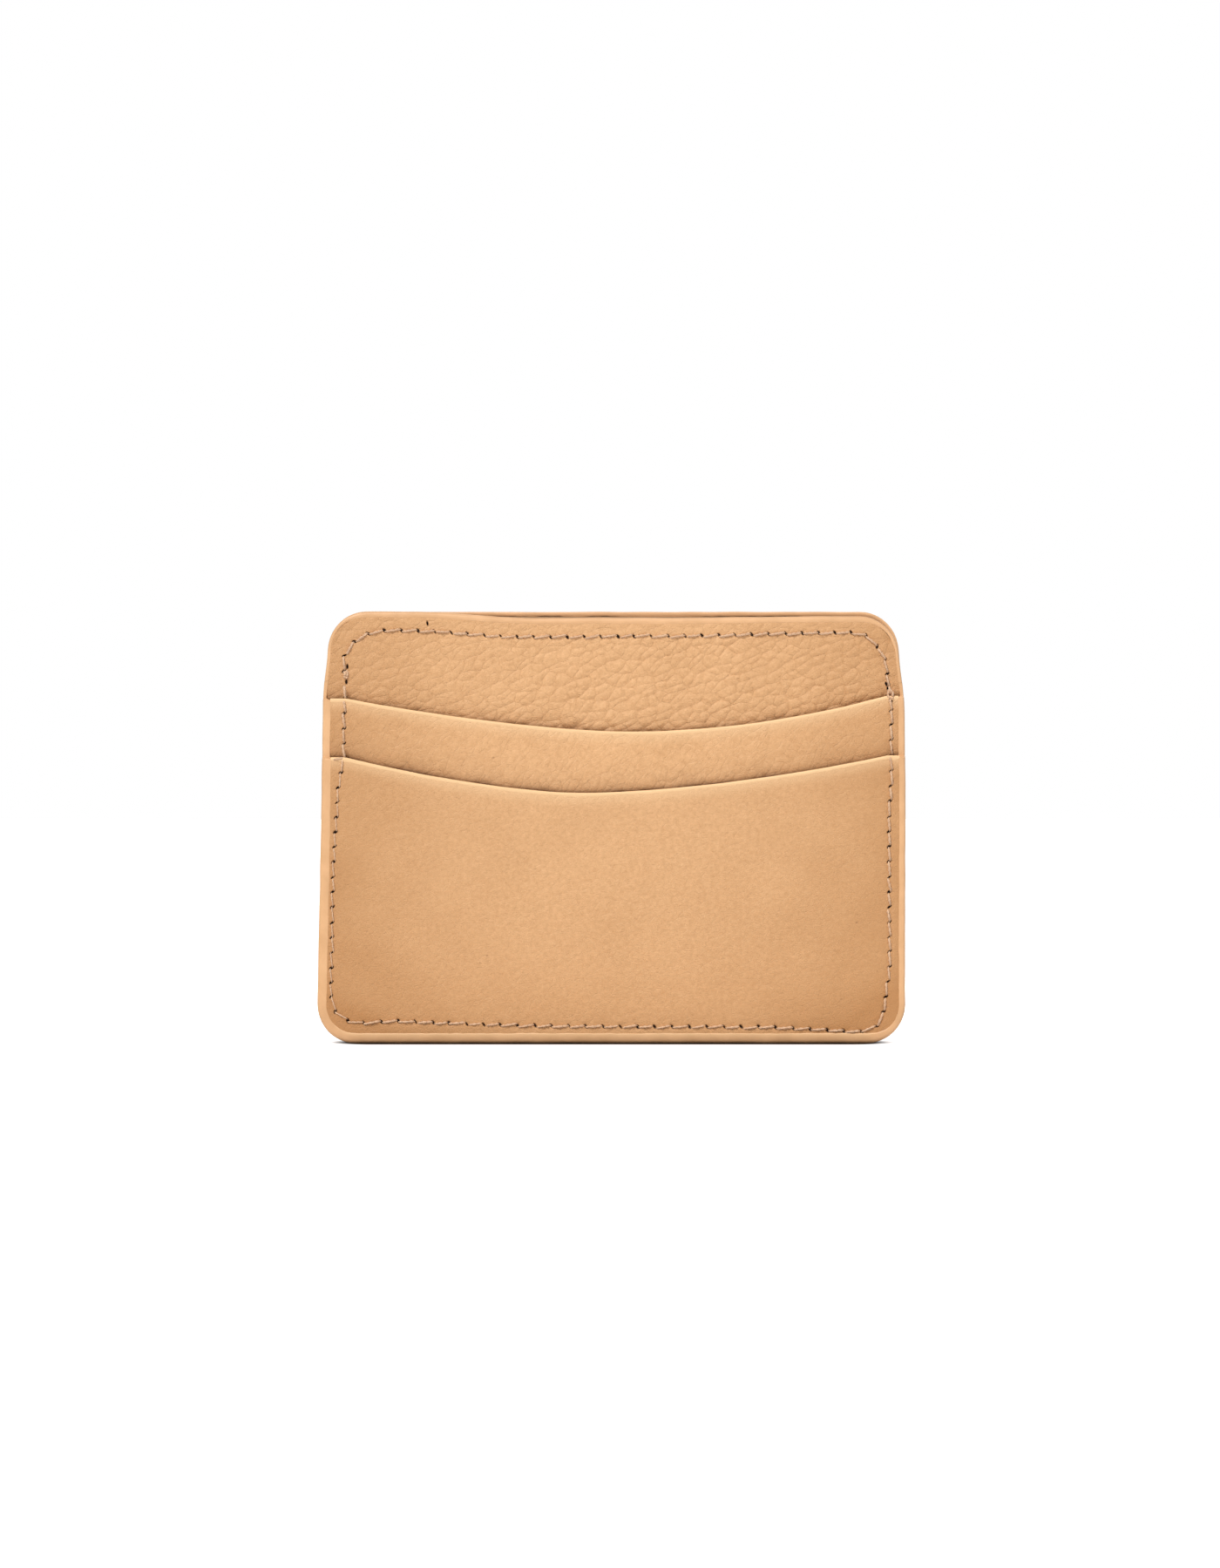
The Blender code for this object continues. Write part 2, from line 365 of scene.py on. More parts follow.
def mixed(add, factor, first, second):
    return add("ShaderNodeMix", {0: factor, 6: first, 7: second}, data_type="RGBA").outputs[2]


def reckoned(add, operation, first, second=0.0):
    return add("ShaderNodeMath", {0: first, 1: second}, operation=operation).outputs[0]


def scaled(add, value, factor):
    return reckoned(add, "MULTIPLY", value, factor)


def ranged(add, value, low, high, atLow, atHigh):
    return add("ShaderNodeMapRange", {0: value, 1: low, 2: high, 3: atLow, 4: atHigh}).outputs[0]


def noised(add, place, scale, detail, roughness=0.5, **settings):
    inputs = {"Vector": place, "Scale": scale, "Detail": detail, "Roughness": roughness}
    return add("ShaderNodeTexNoise", inputs, **settings).outputs


def celled(add, place, scale, feature, dimensions="3D"):
    settings = {"voronoi_dimensions": dimensions, "feature": feature}
    return add("ShaderNodeTexVoronoi", {"Vector": place, "Scale": scale}, **settings).outputs["Distance"]


def moved(add, operation, first, second):
    return add("ShaderNodeVectorMath", {0: first, 1: second}, operation=operation).outputs[0]


def vector(add, x=0.0, y=0.0, z=0.0):
    return add("ShaderNodeCombineXYZ", {0: x, 1: y, 2: z}).outputs[0]


def pebbles(add, place, length, width, angle, ruffle):
    # soft cells strung along one direction, with creases between; the same in meshes and materials
    parts = add("ShaderNodeSeparateXYZ", {0: place})
    flat = vector(add, parts.outputs[0], parts.outputs[2])
    turned = add("ShaderNodeVectorRotate", {"Vector": flat, "Angle": angle}, rotation_type="Z_AXIS")
    cells = moved(add, "DIVIDE", turned.outputs[0], vector(add, length, width, 1.0))
    ruffles = noised(add, cells, 0.55, 1.0, noise_dimensions="2D")["Color"]
    centred = moved(add, "SUBTRACT", ruffles, (0.5, 0.5, 0.5))
    pushed = add("ShaderNodeVectorMath", {0: centred, "Scale": ruffle}, operation="SCALE").outputs[0]
    bent = moved(add, "ADD", cells, pushed)
    hollow, crease = 0.0, 0.0
    for stretch, share in (((0.9, 0.95, 1.0), 0.75), ((2.0, 1.8, 1.0), 0.25)):
        stretched = moved(add, "MULTIPLY", bent, stretch)
        edge = celled(add, stretched, 1.0, "DISTANCE_TO_EDGE", "2D")
        dome = celled(add, stretched, 1.0, "F1", "2D")
        low = ranged(add, edge, 0.0, 0.3, 1.0, 0.0)
        hollow = reckoned(add, "ADD", hollow, scaled(add, scaled(add, low, low), 0.45 * share))
        hollow = reckoned(add, "ADD", hollow, scaled(add, scaled(add, dome, dome), 0.95 * share))
        crease = reckoned(add, "ADD", crease, scaled(add, ranged(add, edge, 0.0, 0.08, 1.0, 0.0), share))
    fading = noised(add, cells, 0.4, 1.0, noise_dimensions="2D")
    strength = ranged(add, fading["Fac"], 0.3, 0.55, 0.65, 1.0)
    return scaled(add, hollow, strength), scaled(add, crease, strength)


print("card holder: frame loaded")


def socketsOf(tree, inputs, outputs, numbers):
    # a tree's sockets: its inputs, then its numbers, then its outputs
    given = {**inputs, **{name: "Float" for name in numbers}}
    for direction, sockets in (("INPUT", given), ("OUTPUT", outputs)):
        for name, kind in sockets.items():
            tree.interface.new_socket(name, in_out=direction, socket_type="NodeSocket" + kind)


def leatherGrainGroup():
    # creases, mottling, pores and a height for bump, from a place on the leather
    tree = bpy.data.node_groups.new("leatherGrain", "ShaderNodeTree")
    numbers = ("Cell Length", "Cell Width", "Angle", "Ruffle", "Pebble Share", "Pore Size")
    outputs = {"Crease": "Float", "Mottle": "Float", "Pores": "Float", "Height": "Float"}
    socketsOf(tree, {"Vector": "Vector"}, outputs, numbers)
    add = nodeAdder(tree)
    given = add("NodeGroupInput").outputs
    place = given["Vector"]
    hollow, crease = pebbles(add, place, *(given[name] for name in numbers[:4]))
    broad = noised(add, place, 70.0, 3.0, 0.6)["Fac"]
    fine = noised(add, place, 1300.0, 3.0, 0.7)["Fac"]
    mottle = reckoned(add, "ADD", scaled(add, broad, 0.3), scaled(add, fine, 0.7))
    skin = celled(add, place, reckoned(add, "DIVIDE", 1.0, given["Pore Size"]), "F1")
    fibre = noised(add, place, 3600.0, 3.0, 0.65)["Fac"]
    rare = ranged(add, noised(add, place, 210.0, 1.0)["Fac"], 0.6, 0.72, 0.0, 1.0)
    dots = ranged(add, celled(add, place, 560.0, "F1"), 0.07, 0.15, 1.0, 0.0)
    pores = scaled(add, dots, rare)
    grainy = reckoned(add, "ADD", scaled(add, skin, -0.6), scaled(add, fibre, 0.8))
    pressed = reckoned(add, "ADD", hollow, scaled(add, crease, 0.5))
    low = reckoned(add, "SUBTRACT", grainy, scaled(add, pressed, given["Pebble Share"]))
    height = reckoned(add, "SUBTRACT", low, scaled(add, pores, 0.8))
    add("NodeGroupOutput", {"Crease": crease, "Mottle": mottle, "Pores": pores, "Height": height})
    return tree


def newMaterial(name, roughness, **sockets):
    # a material, a function that feeds its shader's sockets, and one that adds nodes to it
    material = bpy.data.materials.new(name)
    material.use_nodes = True
    shader = material.node_tree.nodes["Principled BSDF"]
    for socket, value in {"Roughness": roughness, **sockets}.items():
        shader.inputs[socket.replace("_", " ")].default_value = value

    def feed(socket, value):
        material.node_tree.links.new(value, shader.inputs[socket])

    return material, feed, nodeAdder(material.node_tree)


def marked(add, name):
    # a piece's own attribute
    return add("ShaderNodeAttribute", attribute_name=name).outputs["Fac"]


def roughened(add, height, strength, distance):
    return add("ShaderNodeBump", {"Strength": strength, "Distance": distance, "Height": height}).outputs[0]


def leatherMaterial(name, looks, grain):
    # tan leather: mottled skin, darker creases and pores (partly the grain's own lines, partly painted
    # shade), painted shade towards the sides and foot and just above each mouth, paler burnished mouths, and
    # needle slits painted near black as painted shade in the pits
    material, feed, add = newMaterial(name, looks["roughness"], Specular_IOR_Level=looks["specular"])
    skin = add("ShaderNodeGroup", {}, node_tree=grain)
    material.node_tree.links.new(add("ShaderNodeTexCoord").outputs["Object"], skin.inputs["Vector"])
    for socket in ("Cell Length", "Cell Width", "Angle", "Ruffle", "Pebble Share", "Pore Size"):
        skin.inputs[socket].default_value = looks[socket]
    spread = ranged(add, skin.outputs["Mottle"], 0.36, 0.64, 0.0, 1.0)
    colour = mixed(add, spread, (*looks["colour"], 1), (*looks["light"], 1))
    creased = scaled(add, skin.outputs["Crease"], marked(add, "grainMask"))
    coats = [(scaled(add, creased, looks["creaseDarkness"]), "crease"),
             (marked(add, "paintedFalloffShade"), "paintedFalloffShade"),
             (scaled(add, marked(add, "band"), 0.4), "band"),
             (marked(add, "paintedMouthShade"), "paintedMouthShade"),
             (scaled(add, skin.outputs["Pores"], 0.35), "crease"),
             (marked(add, "slit"), "slit")]
    for factor, tone in coats:
        colour = mixed(add, factor, colour, (*looks[tone], 1))
    feed("Base Color", colour)
    feed("Roughness", ranged(add, creased, 0.0, 1.0, looks["roughness"], looks["roughness"] + 0.25))
    feed("Normal", roughened(add, skin.outputs["Height"], looks["bump"], 0.00012))
    return material


def edgePaintMaterial():
    # pale edge paint: uneven coats, a little darker in the grooves between layers, with painted shade inside
    # the pocket's mouth and towards the foot, and a painted highlight along the mouths and the foot's ridge
    tones = {"colour": (0.7, 0.395, 0.19, 1), "light": (0.8, 0.465, 0.235, 1),
             "paintedHighlight": (0.95, 0.64, 0.34, 1), "groovesAndPaintedShade": (0.36, 0.19, 0.085, 1)}
    material, feed, add = newMaterial("paleEdgePaint", 0.42, Specular_IOR_Level=0.45)
    place = add("ShaderNodeTexCoord").outputs["Object"]
    uneven = ranged(add, noised(add, place, 260.0, 3.0)["Fac"], 0.32, 0.68, 0.0, 1.0)
    colour = mixed(add, uneven, tones["colour"], tones["light"])
    colour = mixed(add, marked(add, "paintedHighlight"), colour, tones["paintedHighlight"])
    feed("Base Color", mixed(add, marked(add, "groovesAndPaintedShade"), colour, tones["groovesAndPaintedShade"]))
    feed("Normal", roughened(add, noised(add, place, 1500.0, 3.0)["Fac"], 0.25, 0.00008))
    return material


def threadMaterial():
    # pale polyester thread, with painted shade between its plies
    material, feed, add = newMaterial("twistedThread", 0.5, Specular_IOR_Level=0.35, Sheen_Weight=0.2)
    place = add("ShaderNodeTexCoord").outputs["Object"]
    wearAndPaintedShade = noised(add, place, 900.0, 2.0)["Fac"]
    colour = mixed(add, wearAndPaintedShade, (0.72, 0.43, 0.245, 1), (0.98, 0.7, 0.46, 1))
    between = scaled(add, marked(add, "betweenPlies"), 0.55)
    feed("Base Color", mixed(add, between, colour, (0.42, 0.2, 0.1, 1)))
    feed("Normal", roughened(add, noised(add, place, 6000.0, 2.0)["Fac"], 0.5, 0.00006))
    return material


def liningMaterial():
    # thin split leather with a short nap
    material, feed, add = newMaterial("splitLining", 0.88, Specular_IOR_Level=0.2, Sheen_Weight=0.4)
    place = add("ShaderNodeTexCoord").outputs["Object"]
    brushed = noised(add, place, 120.0, 3.0)["Fac"]
    feed("Base Color", mixed(add, brushed, (0.40, 0.24, 0.13, 1), (0.58, 0.37, 0.21, 1)))
    feed("Normal", roughened(add, noised(add, place, 2600.0, 4.0, 0.7)["Fac"], 0.7, 0.0001))
    return material


def grainPressTree():
    # presses the pebble grain into a leather face, as deep as its grainMask
    tree = bpy.data.node_groups.new("pressGrain", "GeometryNodeTree")
    numbers = ("Cell Length", "Cell Width", "Angle", "Ruffle", "Depth", "Outward")
    socketsOf(tree, {"Geometry": "Geometry"}, {"Geometry": "Geometry"}, numbers)
    add = nodeAdder(tree)
    given = add("NodeGroupInput").outputs
    spot = add("GeometryNodeInputPosition").outputs[0]
    hollow = pebbles(add, spot, *(given[name] for name in numbers[:4]))[0]
    mask = add("GeometryNodeInputNamedAttribute", {"Name": "grainMask"}, data_type="FLOAT").outputs[0]
    amount = scaled(add, hollow, -1.0)
    for factor in (mask, given["Depth"], given["Outward"]):
        amount = scaled(add, amount, factor)
    inputs = {"Geometry": given["Geometry"], "Offset": vector(add, 0.0, amount)}
    add("NodeGroupOutput", {"Geometry": add("GeometryNodeSetPosition", inputs).outputs[0]})
    return tree


def stitchTree():
    # a twisted length of thread on each point, turned and stretched by the point's own values
    tree = bpy.data.node_groups.new("rowOfStitches", "GeometryNodeTree")
    numbers = ("Length", "Thickness", "Rise", "Dive", "Twists")
    socketsOf(tree, {"Geometry": "Geometry", "Material": "Material"}, {"Geometry": "Geometry"}, numbers)
    add = nodeAdder(tree)
    given = add("NodeGroupInput").outputs

    def made(kind, inputs, **settings):
        return add(kind, inputs, **settings).outputs[0]

    def carried(name):
        return made("GeometryNodeInputNamedAttribute", {"Name": name}, data_type="FLOAT_VECTOR")

    half = scaled(add, given["Length"], 0.5)
    shoulder = scaled(add, given["Length"], 0.46)
    down = scaled(add, given["Dive"], -1.0)
    bend = {"Start": vector(add, scaled(add, half, -1.0), 0.0, down),
            "Start Handle": vector(add, scaled(add, shoulder, -1.0), 0.0, given["Rise"]),
            "End Handle": vector(add, shoulder, 0.0, given["Rise"]),
            "End": vector(add, half, 0.0, down)}
    line = made("GeometryNodeCurvePrimitiveBezierSegment", {"Resolution": 9, **bend})
    along = add("GeometryNodeSplineParameter").outputs["Factor"]
    twist = scaled(add, scaled(add, along, given["Twists"]), 2 * math.pi)
    twisted = made("GeometryNodeSetCurveTilt", {"Curve": line, "Tilt": twist})
    away = reckoned(add, "ABSOLUTE", reckoned(add, "SUBTRACT", scaled(add, along, 2.0), 1.0))
    width = ranged(add, reckoned(add, "POWER", away, 5.0), 0.0, 1.0, 1.0, 0.55)
    tapered = made("GeometryNodeSetCurveRadius", {"Curve": twisted, "Radius": width})
    radius = scaled(add, given["Thickness"], 0.5)
    ring = made("GeometryNodeCurvePrimitiveCircle", {"Resolution": 6, "Radius": radius})
    inner = reckoned(add, "MODULO", add("GeometryNodeInputIndex").outputs[0], 2.0)
    squeeze = ranged(add, inner, 0.0, 1.0, 1.08, 0.74)
    spot = add("GeometryNodeInputPosition").outputs[0]
    lobe = made("ShaderNodeVectorMath", {0: spot, "Scale": squeeze}, operation="SCALE")
    lobed = made("GeometryNodeSetPosition", {"Geometry": ring, "Position": lobe})
    # the inner profile points carry the painted shade between the plies
    mark = {"Geometry": lobed, "Name": "betweenPlies", "Value": inner}
    valley = made("GeometryNodeStoreNamedAttribute", mark, data_type="FLOAT", domain="POINT")
    thread = made("GeometryNodeCurveToMesh", {"Curve": tapered, "Profile Curve": valley, "Fill Caps": True})
    points = made("GeometryNodeMeshToPoints", {"Mesh": given["Geometry"]})
    rotation = made("FunctionNodeEulerToRotation", {0: carried("turn")})
    stance = {"Points": points, "Instance": thread, "Rotation": rotation, "Scale": carried("size")}
    placed = made("GeometryNodeInstanceOnPoints", stance)
    smoothed = made("GeometryNodeSetShadeSmooth", {0: placed})
    real = made("GeometryNodeRealizeInstances", {"Geometry": smoothed})
    painted = made("GeometryNodeSetMaterial", {"Geometry": real, "Material": given["Material"]})
    add("NodeGroupOutput", {"Geometry": painted})
    return tree


def runTree(piece, tree, values):
    # the tree's result becomes the piece's own plain mesh
    modifier = piece.modifiers.new(tree.name, "NODES")
    modifier.node_group = tree
    for item in tree.interface.items_tree:
        if item.item_type == "SOCKET" and item.in_out == "INPUT" and item.name in values:
            modifier[item.identifier] = values[item.name]
    depsgraph = bpy.context.evaluated_depsgraph_get()
    made = bpy.data.meshes.new_from_object(piece.evaluated_get(depsgraph))
    piece.modifiers.clear()
    old = piece.data
    piece.data = made
    bpy.data.meshes.remove(old)


def cornerDrop(x, inset):
    # how far a rounded corner cuts in at this column
    radius = holder["cornerRadius"] - inset
    past = np.clip(np.abs(x) - (halfWidth - inset - radius), 0, radius)
    return radius - np.sqrt(np.clip(radius**2 - past**2, 0, None))


def panelColumns(inset, spacing):
    # columns across a panel, closer together round its corners
    radius = holder["cornerRadius"] - inset
    middle = halfWidth - inset - radius
    corner = middle + radius * np.sin(np.radians(np.linspace(0, 90, 24)))
    inner = np.linspace(-middle, middle, int(2 * middle / spacing))
    return np.concatenate([-corner[:0:-1], inner, corner[1:]])


def panelRows(low, high, looks):
    # fine rows where the leather shows, coarse ones below
    shows = looks["showsAbove"]
    lower = np.linspace(low, shows, max(2, int((shows - low) / looks["coarse"])))
    upper = np.linspace(shows, high, max(2, int((high - shows) / looks["spacing"])))
    return (np.concatenate([lower[:-1], upper]) - low) / (high - low)


def panelTop(x, layer, inset):
    if layer in ("upper_slot", "lower_slot"):
        return mouthHeight(x, layer) - edges["mouthWall"]
    return holder["height"] - edges["panel"]["level"] + 0.05 - cornerDrop(x, inset)


def sheetMesh(columns, low, high, rows, outer, inner):
    # a closed sheet: fine outer face, coarser inner face, walls all round
    innerRows = np.linspace(0, 1, 15)
    points = []
    for fractions, y in ((rows, outer), (innerRows, inner)):
        x, share = np.meshgrid(columns, fractions)
        z = low + (high - low) * share
        points.append(np.stack([x.ravel(), np.full(x.size, y), z.ravel()], axis=1))
    face = np.arange(len(rows) * len(columns)).reshape(len(rows), -1)
    back = face.size + np.arange(len(innerRows) * len(columns)).reshape(len(innerRows), -1)
    quads = [np.stack([grid[:-1, :-1], grid[:-1, 1:], grid[1:, 1:], grid[1:, :-1]], axis=-1).reshape(-1, 4)
             for grid in (face, back)]
    quads[1] = quads[1][:, ::-1]
    quads.append(np.stack([face[0, 1:], face[0, :-1], back[0, :-1], back[0, 1:]], axis=-1))
    quads.append(np.stack([face[-1, :-1], face[-1, 1:], back[-1, 1:], back[-1, :-1]], axis=-1))
    faces = np.concatenate(quads).tolist()
    faces.append(face[::-1, 0].tolist()[::-1] + back[::-1, 0].tolist())
    faces.append(face[::-1, -1].tolist() + back[:, -1].tolist())
    return np.concatenate(points), faces


def refineRound(piece, spots, outer, cuts):
    # smaller faces round each needle slit, so that it is a real pit
    mesh = bmesh.new()
    mesh.from_mesh(piece.data)
    centres = np.array([face.calc_center_median() for face in mesh.faces])
    onFace = np.abs(centres[:, 1] - outer) < 1e-4
    near = np.zeros(len(centres), bool)
    for x, z in spots[:, :2]:
        near |= onFace & (np.hypot(centres[:, 0] - x, centres[:, 2] - z) < 0.62)
    mesh.faces.ensure_lookup_table()
    chosen = {edge for index in np.flatnonzero(near) for edge in mesh.faces[index].edges}
    bmesh.ops.subdivide_edges(mesh, edges=list(chosen), cuts=cuts, use_grid_fill=True)
    mesh.to_mesh(piece.data)
    mesh.free()


def aboveMouth(x, z, looks):
    # height above the mouth that lies in front of this panel
    if "inFront" not in looks:
        return np.full(x.shape, 1e3)
    return np.clip(z - mouthHeight(x, looks["inFront"]), 0, None)


shading = {"reach": 40, "side": 0.41, "sidePower": 2.5, "footHeight": 9, "foot": 0.19, "footFade": 8}


def vignette(x, z):
    # painted shade: the leather is drawn a little darker towards its sides and its foot
    away = np.abs(x) / shading["reach"]
    side = shading["side"] * away ** shading["sidePower"] * (1 - 0.25 * smooth(45, 65, z))
    height = np.clip(z - shading["footHeight"], -shading["footHeight"], None)
    foot = shading["foot"] * np.exp(-height / shading["footFade"]) * (1 + 0.5 * away**2)
    return np.clip(side + foot, 0, 1)


def panelRelief(x, z, toEdge, toSeam, own, looks):
    # how far the outer face stands out from flat, in millimetres
    rise = softNoise(x, z, 15, looks["seed"]) + 0.4 * softNoise(x, z, 5, looks["seed"] + 1)
    rise = looks["unevenness"] * rise * smooth(0, 3, toEdge)
    toSlit = np.full(x.shape, 1e3)
    for slitX, slitZ in own[:, :2]:
        toSlit = np.minimum(toSlit, np.hypot(x - slitX, z - slitZ))
    valley = np.exp(-((toSeam / seams["valleyWidth"]) ** 2))
    valley = valley * (0.5 + 0.5 * np.exp(-((toSlit / 0.8) ** 2)))
    rise = rise - seams["valleyDepth"] * valley
    rise = rise + looks["pucker"] * np.exp(-toSlit / 1.6) * softNoise(x, z, 2.2, looks["seed"] + 2)
    rise = rise - looks["recess"] * np.exp(-aboveMouth(x, z, looks) / looks["recessReach"])
    return rise - edges["rollOff"] * np.exp(-toEdge / 0.6)


def leatherPanel(side, layer, looks, material, press, mask):
    sign = sides[side]
    inner, outer = layers[layer]
    inset = looks["inset"]
    columns = panelColumns(inset, looks["spacing"])
    high = panelTop(columns, layer, inset)
    rows = panelRows(inset, float(high.max()), looks)
    points, faces = sheetMesh(columns, inset + cornerDrop(columns, inset), high, rows, outer, inner)
    piece = newPiece(f"{side}_{layer}_leather", points.tolist(), faces, material)
    own = slits[(slits[:, 1] > looks["slitsAbove"]) & (slits[:, 1] < looks["slitsBelow"])]
    if len(own):
        refineRound(piece, own, outer, looks["cuts"])
    flat = np.empty(len(piece.data.vertices) * 3, np.float32)
    piece.data.vertices.foreach_get("co", flat)
    x, y, z = flat.reshape(-1, 3).astype(float).T
    onFace = np.abs(y - outer) < 1e-4
    top = panelTop(x, layer, inset)
    toEdge = np.minimum(halfWidth - inset - np.abs(x), z - inset - cornerDrop(x, inset))
    toEdge = np.clip(np.minimum(toEdge, top - z), 0, None)
    toSeam = np.minimum(seamDistance(x, z, sidePath), seamDistance(x, z, topPath))
    slit = slitDepth(x, z, own) * onFace
    rise = panelRelief(x, z, toEdge, toSeam, own, looks)
    y = y + onFace * (rise - seams["holeDepth"] * slit)
    piece.data.vertices.foreach_set("co", place(np.stack([x, sign * y, z], axis=1)).ravel())
    faceOutwards(piece)
    # painted shade, a little darker towards the sides and the foot
    paintedFalloffShade = vignette(x, z) * (1 + 0.15 * softNoise(x, z, 14, looks["seed"] + 3))
    above = aboveMouth(x, z, looks)
    # painted shade on the face just above the mouth in front of it, darkest at the mouth
    paintedMouthShade = looks["paintedMouthShadeStrength"] * (np.exp(-above / 0.3) + 0.45 * np.exp(-above / 1.8))
    paintedMouthShade = paintedMouthShade * (0.8 + 0.2 * softNoise(x, z, 7, looks["seed"] + 4)) * (1 - 0.35 * smooth(15, 45, x))
    band = np.exp(-(((top - z) / edges["burnished"]) ** 2)) * (layer != "panel")
    grain = mask(x, z, toSeam) * smooth(0, 0.9, toEdge) * (1 - slit)
    # the slit mark paints the needle slits near black, as painted shade inside the pits
    marks = {"grainMask": grain, "slit": np.clip(slit * 2.2, 0, 1), "paintedFalloffShade": paintedFalloffShade, "band": band,
             "paintedMouthShade": paintedMouthShade}
    for name, values in marks.items():
        setAttribute(piece, name, np.clip(values * onFace, 0, 1.5))
    values = {name: looks[name] for name in ("Cell Length", "Cell Width", "Angle", "Ruffle")}
    runTree(piece, press, {**values, "Depth": looks["depth"] * mm, "Outward": float(sign)})
    shade(piece)
    standFor(piece, f"{side}_{layer}")


leatherTones = {  # cell and pore sizes are in metres, as the node trees take them
    "colour": (0.67, 0.365, 0.164),
    "light": (0.8, 0.46, 0.222),
    # darker creases and pores: partly the grain's own dark lines, partly painted shade
    "crease": (0.33, 0.145, 0.055),
    # colour of the painted shade towards the sides and the foot
    "paintedFalloffShade": (0.5, 0.24, 0.088),
    "band": (0.9, 0.6, 0.33),
    "roughness": 0.5,
    "specular": 0.4,
    # colour of the painted shade above each mouth
    "paintedMouthShade": (0.16, 0.065, 0.025),
    # near-black painted shade inside the needle slits
    "slit": (0.035, 0.013, 0.008),
    "creaseDarkness": 0.2,
    "paintedMouthShadeStrength": 0.0,
    "recess": 0.0,
    "recessReach": 1.6,
    "Pore Size": 0.00022,
    "unevenness": 0.07,
    "pucker": 0.06,
    "coarse": 1.6,
    "cuts": 3,
}
bodyPanel = {
    **leatherTones,
    "slot": "pebbled_leather",
    "inset": edges["panel"]["inset"],
    "spacing": 0.3,
    "showsAbove": 52.0,
    "slitsAbove": 58.0,
    "slitsBelow": 80.0,
    "seed": 11,
    "depth": 0.3,
    "inFront": "upper_slot",
    "recess": 0.28,
    "paintedMouthShadeStrength": 0.5,
    "Cell Length": 0.0022,
    "Cell Width": 0.00135,
    "Angle": math.radians(-27),
    "Ruffle": 0.8,
    "Pebble Share": 0.7,
    "bump": 0.8,
}
upperSlot = {
    **leatherTones,
    "slot": "fine_leather",
    "inset": edges["upper_slot"]["inset"],
    "spacing": 0.3,
    "showsAbove": 42.0,
    "slitsAbove": 47.0,
    "slitsBelow": 60.5,
    "seed": 31,
    "depth": 0.12,
    "inFront": "lower_slot",
    "recess": 0.25,
    "recessReach": 1.3,
    "paintedMouthShadeStrength": 0.8,
    "creaseDarkness": 0.35,
    "Cell Length": 0.0024,
    "Cell Width": 0.0012,
    "Angle": math.radians(-52),
    "Ruffle": 1.3,
    "Pebble Share": 0.6,
    "bump": 0.7,
}
lowerSlot = {
    **leatherTones,
    "slot": "smooth_leather",
    "inset": edges["lower_slot"]["inset"],
    "spacing": 0.42,
    "showsAbove": 2.0,
    "slitsAbove": 0.0,
    "slitsBelow": 50.5,
    "seed": 51,
    "depth": 0.03,
    "creaseDarkness": 0.15,
    "Cell Length": 0.0016,
    "Cell Width": 0.0011,
    "Angle": math.radians(-40),
    "Ruffle": 0.8,
    "Pebble Share": 0.35,
    "bump": 0.75,
    "colour": (0.64, 0.35, 0.158),
    "light": (0.765, 0.44, 0.213),
}


def bodyGrain(x, z, toSeam):
    # bolder to the right and towards the mouth, pressed flat along the seam
    above = np.clip(z - mouthHeight(x, "upper_slot"), 0, None)
    grain = 0.5 + 0.5 * smooth(-38, 5, x) + 0.25 * np.exp(-above / 2.5)
    return grain * (1 - 0.5 * smooth(70, 72, z)) * (1 - 0.65 * np.exp(-((toSeam / 1.0) ** 2)))


def upperGrain(x, z, toSeam):
    # wrinkles gather just above the lower mouth
    near = np.exp(-np.clip(z - mouthHeight(x, "lower_slot"), 0, None) / 2.2)
    patch = smooth(0.1, 0.8, softNoise(x, z, 12, 9))
    return (0.06 + 0.3 * patch + 0.85 * near) * (1 - 0.6 * np.exp(-toSeam / 1.5))


def lowerGrain(x, z, toSeam):
    return 0.35 + 0.15 * softNoise(x, z, 18, 8)


grain = leatherGrainGroup()
press = grainPressTree()
for layer, looks, mask in (("panel", bodyPanel, bodyGrain), ("upper_slot", upperSlot, upperGrain),
                           ("lower_slot", lowerSlot, lowerGrain)):
    material = leatherMaterial(looks["slot"], looks, grain)
    for side in sides:
        leatherPanel(side, layer, looks, material, press, mask)
print("card holder: leather panels made")


lining = {"inset": 0.5, "spacing": 1.5, "coarse": 2.0, "showsAbove": 50.0}
liningLeather = liningMaterial()
for side, sign in sides.items():
    columns = panelColumns(lining["inset"], lining["spacing"])
    high = panelTop(columns, "lining", lining["inset"])
    rows = panelRows(lining["inset"], float(high.max()), lining)
    nearer, further = layers["lining"]
    low = lining["inset"] + cornerDrop(columns, lining["inset"])
    points, faces = sheetMesh(columns, low, high, rows, further, nearer)
    piece = newPiece(side + "_lining_sheet", place(points * (1, sign, 1)).tolist(), faces, liningLeather)
    faceOutwards(piece)
    shade(piece)
    standFor(piece, side + "_lining")
print("card holder: linings made")


